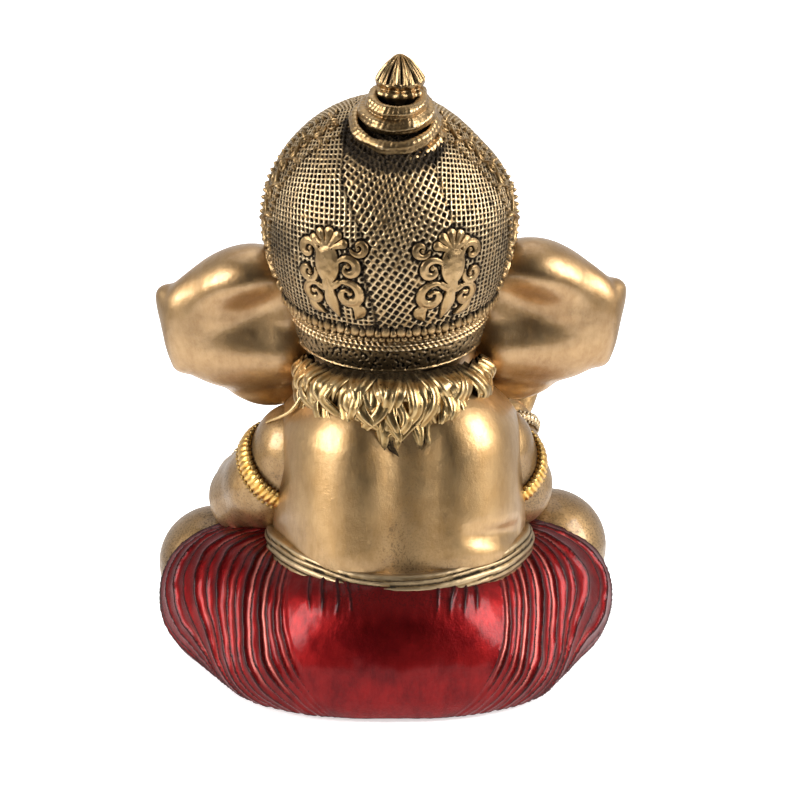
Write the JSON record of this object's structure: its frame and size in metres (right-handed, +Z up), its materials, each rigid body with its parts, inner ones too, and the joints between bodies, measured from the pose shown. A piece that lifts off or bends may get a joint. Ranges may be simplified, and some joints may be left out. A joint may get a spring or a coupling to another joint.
{
  "type": "seated ganesha idol",
  "caption": "Small cold-cast idol of a seated baby elephant-headed deity with a woven turban, scroll ornaments, stacked topknot, large ears and a pleated red dhoti.",
  "frame": {"origin": "on the surface the idol stands on, under the middle of its felt pad", "axes": "+Z up; the figure faces -Y; +X is the figure's own left"},
  "size_m": [0.1194, 0.0991, 0.1617],
  "materials": {
    "satin_gold": "satin champagne-gold metallic paint on cold-cast resin",
    "antique_gold": "antique gold metallic paint with a dark wash in the relief",
    "sash_gold": "antique gold metallic paint, lightly burnished",
    "red_lacquer": "translucent red lacquer over metallic base",
    "ivory_paint": "ivory paint, satin",
    "eye_enamel": "glossy dark enamel",
    "sweet_paint": "pale gold paint, satin",
    "felt": "black felt"
  },
  "bodies": {
    "root": {"dhoti": "red_lacquer", "felt_pad": "felt", "front_sash": "sash_gold", "hair_fringe": "antique_gold", "head": "satin_gold", "left_anklet": "antique_gold", "left_arm": "satin_gold", "left_armlet": "antique_gold", "left_bangle": "antique_gold", "left_ear": "satin_gold", "left_eye": "eye_enamel", "left_foot": "satin_gold", "left_hand": "satin_gold", "left_leg": "satin_gold", "left_scroll_ornament": "antique_gold", "left_turban_border": "antique_gold", "left_tusk": "ivory_paint", "modak_sweet": "sweet_paint", "necklace": "antique_gold", "right_anklet": "antique_gold", "right_arm": "satin_gold", "right_armlet": "antique_gold", "right_bangle": "antique_gold", "right_ear": "satin_gold", "right_eye": "eye_enamel", "right_foot": "satin_gold", "right_hand": "satin_gold", "right_leg": "satin_gold", "right_scroll_ornament": "antique_gold", "right_turban_border": "antique_gold", "right_tusk": "ivory_paint", "topknot_finial": "antique_gold", "topknot_lower_tier": "antique_gold", "topknot_middle_tier": "antique_gold", "torso": "satin_gold", "trunk": "satin_gold", "turban": "antique_gold", "turban_bead_row": "antique_gold", "turban_crest": "antique_gold", "turban_rim": "antique_gold", "waistband": "sash_gold"}
  },
  "joints": []
}
